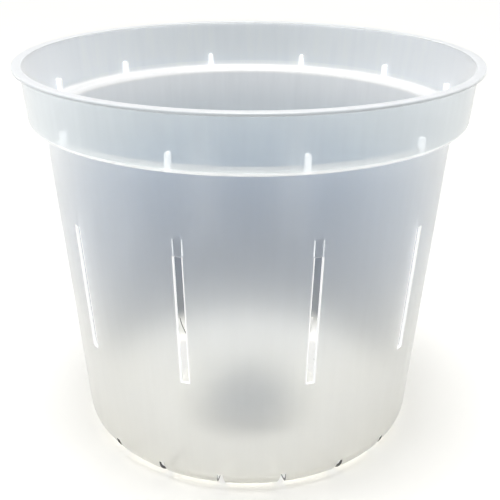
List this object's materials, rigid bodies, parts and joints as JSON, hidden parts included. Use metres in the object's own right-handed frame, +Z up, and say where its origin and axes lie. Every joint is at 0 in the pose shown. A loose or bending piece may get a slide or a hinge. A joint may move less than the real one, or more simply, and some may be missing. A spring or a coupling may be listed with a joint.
{
  "type": "slotted orchid pot",
  "caption": "Round tapered orchid pot of milky see-through plastic, with a stepped rim, upright air slots in the wall, drain slots round the foot and a raised middle in the floor.",
  "frame": {"origin": "middle of the foot, on the surface that the pot stands on", "axes": "+Z up along the pot's axis, -Y towards the front as pictured"},
  "size_m": [0.178, 0.178, 0.1528],
  "materials": {
    "milky_plastic": "milky translucent polypropylene, satin as moulded"
  },
  "bodies": {
    "root": {"rim_lip": "milky_plastic", "rim_band": "milky_plastic", "rim_step": "milky_plastic", "upper_wall": "milky_plastic", "lower_wall": "milky_plastic", "base_corner": "milky_plastic", "floor_ring": "milky_plastic", "centre_riser": "milky_plastic", "centre_plate": "milky_plastic", "wall_panel_01": "milky_plastic", "wall_panel_02": "milky_plastic", "wall_panel_03": "milky_plastic", "wall_panel_04": "milky_plastic", "wall_panel_05": "milky_plastic", "wall_panel_06": "milky_plastic", "wall_panel_07": "milky_plastic", "wall_panel_08": "milky_plastic", "wall_panel_09": "milky_plastic", "wall_panel_10": "milky_plastic", "stacking_rib_01": "milky_plastic", "stacking_rib_02": "milky_plastic", "stacking_rib_03": "milky_plastic", "stacking_rib_04": "milky_plastic", "stacking_rib_05": "milky_plastic", "stacking_rib_06": "milky_plastic", "stacking_rib_07": "milky_plastic", "stacking_rib_08": "milky_plastic", "stacking_rib_09": "milky_plastic", "stacking_rib_10": "milky_plastic", "stacking_rib_11": "milky_plastic", "stacking_rib_12": "milky_plastic"}
  },
  "joints": []
}
